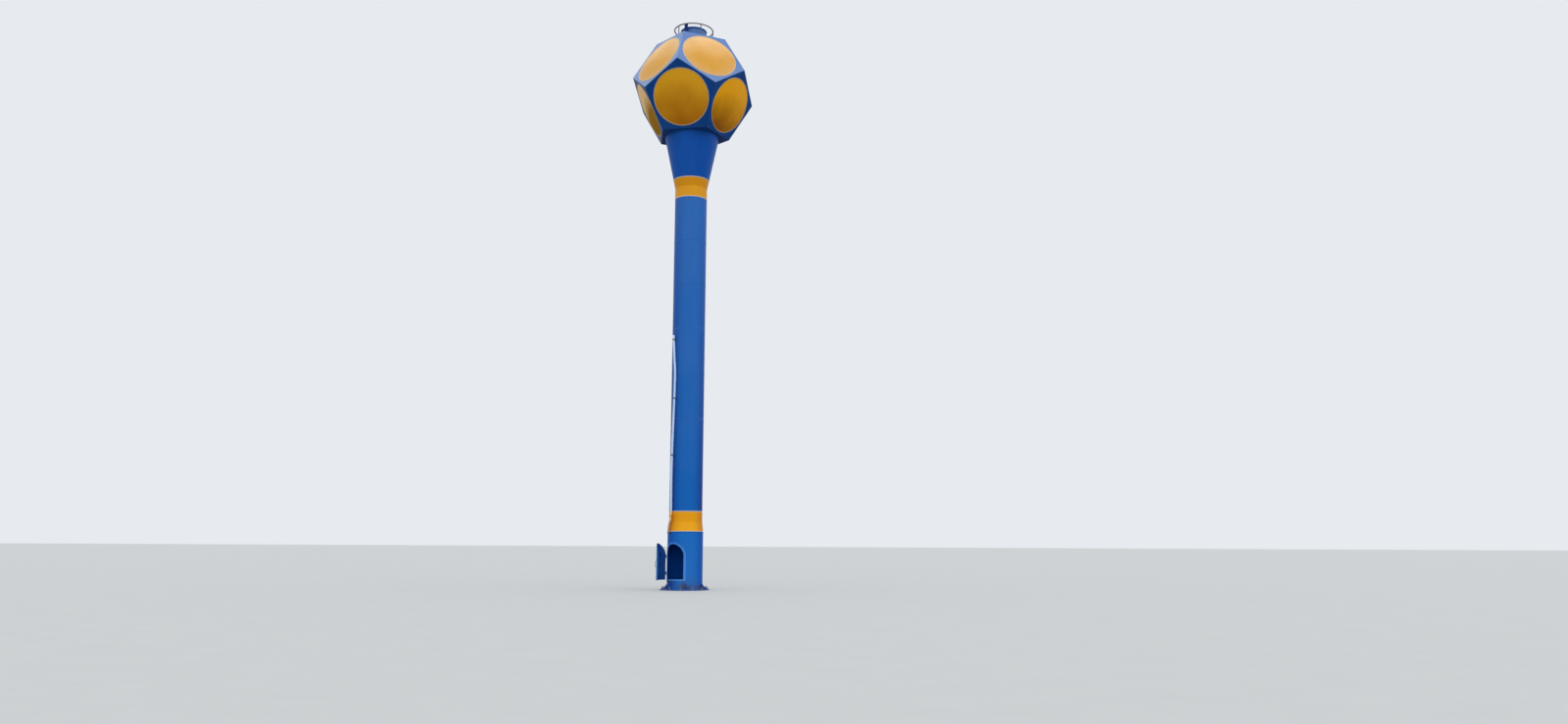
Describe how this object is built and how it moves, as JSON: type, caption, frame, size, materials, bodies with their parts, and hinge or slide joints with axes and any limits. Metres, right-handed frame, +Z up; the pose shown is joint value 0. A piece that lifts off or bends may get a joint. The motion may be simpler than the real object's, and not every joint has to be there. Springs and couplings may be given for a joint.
{
  "type": "steel water tower",
  "caption": "Steel water tower: a round shaft with a flare under a twelve-sided tank of pentagon plates with dished discs, and an arched inspection door that swings.",
  "frame": {"origin": "on the ground, at the middle of the underside of the base plate", "axes": "+Z up along the shaft; -Y through the middle of one lower panel of the tank; the door is between -X and -Y"},
  "size_m": [3.1676, 3.3306, 15.485],
  "materials": {
    "blue_paint": "glossy blue enamel, faded and streaked",
    "dark_blue_paint": "satin dark blue enamel",
    "yellow_paint": "glossy golden yellow enamel, weathered",
    "pale_pipe": "matt pale plastic",
    "dark_steel": "dark weathered paint on steel"
  },
  "bodies": {
    "tower": {"base_plate": "dark_blue_paint", "base_stiffener_1": "dark_blue_paint", "base_stiffener_2": "dark_blue_paint", "base_stiffener_3": "dark_blue_paint", "base_stiffener_4": "dark_blue_paint", "base_stiffener_5": "dark_blue_paint", "base_stiffener_6": "dark_blue_paint", "base_wall_right": "blue_paint", "base_wall_back": "blue_paint", "base_wall_left": "blue_paint", "base_wall_sill": "blue_paint", "base_wall_lintel": "blue_paint", "door_frame": "blue_paint", "shaft_bottom": "blue_paint", "lower_band_taper": "yellow_paint", "lower_band_ring": "yellow_paint", "shaft_course_1": "blue_paint", "shaft_course_2": "blue_paint", "shaft_course_3": "blue_paint", "shaft_course_4": "blue_paint", "shaft_course_5": "blue_paint", "shaft_course_6": "blue_paint", "shaft_course_7": "blue_paint", "upper_band_ring": "yellow_paint", "upper_band_cone": "yellow_paint", "flare_cone": "blue_paint", "tank_floor": "dark_blue_paint", "lower_panel_1": "blue_paint", "lower_panel_2": "blue_paint", "lower_panel_3": "blue_paint", "lower_panel_4": "blue_paint", "lower_panel_5": "blue_paint", "lower_disc_1": "yellow_paint", "lower_disc_2": "yellow_paint", "lower_disc_3": "yellow_paint", "lower_disc_4": "yellow_paint", "lower_disc_5": "yellow_paint", "upper_panel_1": "blue_paint", "upper_panel_2": "blue_paint", "upper_panel_3": "blue_paint", "upper_panel_4": "blue_paint", "upper_panel_5": "blue_paint", "upper_disc_1": "yellow_paint", "upper_disc_2": "yellow_paint", "upper_disc_3": "yellow_paint", "upper_disc_4": "yellow_paint", "upper_disc_5": "yellow_paint", "tank_top": "blue_paint", "manhole_neck": "blue_paint", "manhole_lid": "dark_blue_paint", "guard_ring": "dark_steel", "vent_pipe": "dark_blue_paint", "side_pipe": "pale_pipe", "pipe_clip_1": "yellow_paint", "pipe_clip_2": "dark_steel", "pipe_clip_3": "dark_steel", "pipe_clip_4": "dark_steel"},
    "door": {"base_door": "blue_paint"}
  },
  "joints": [
    {"name": "base_door_hinge", "type": "hinge", "parent": "tower", "child": "door", "pos_m": [-0.46529, -0.16294, 0.645], "axis": [0, 0, -1], "range_deg": [-65, 50]}
  ]
}
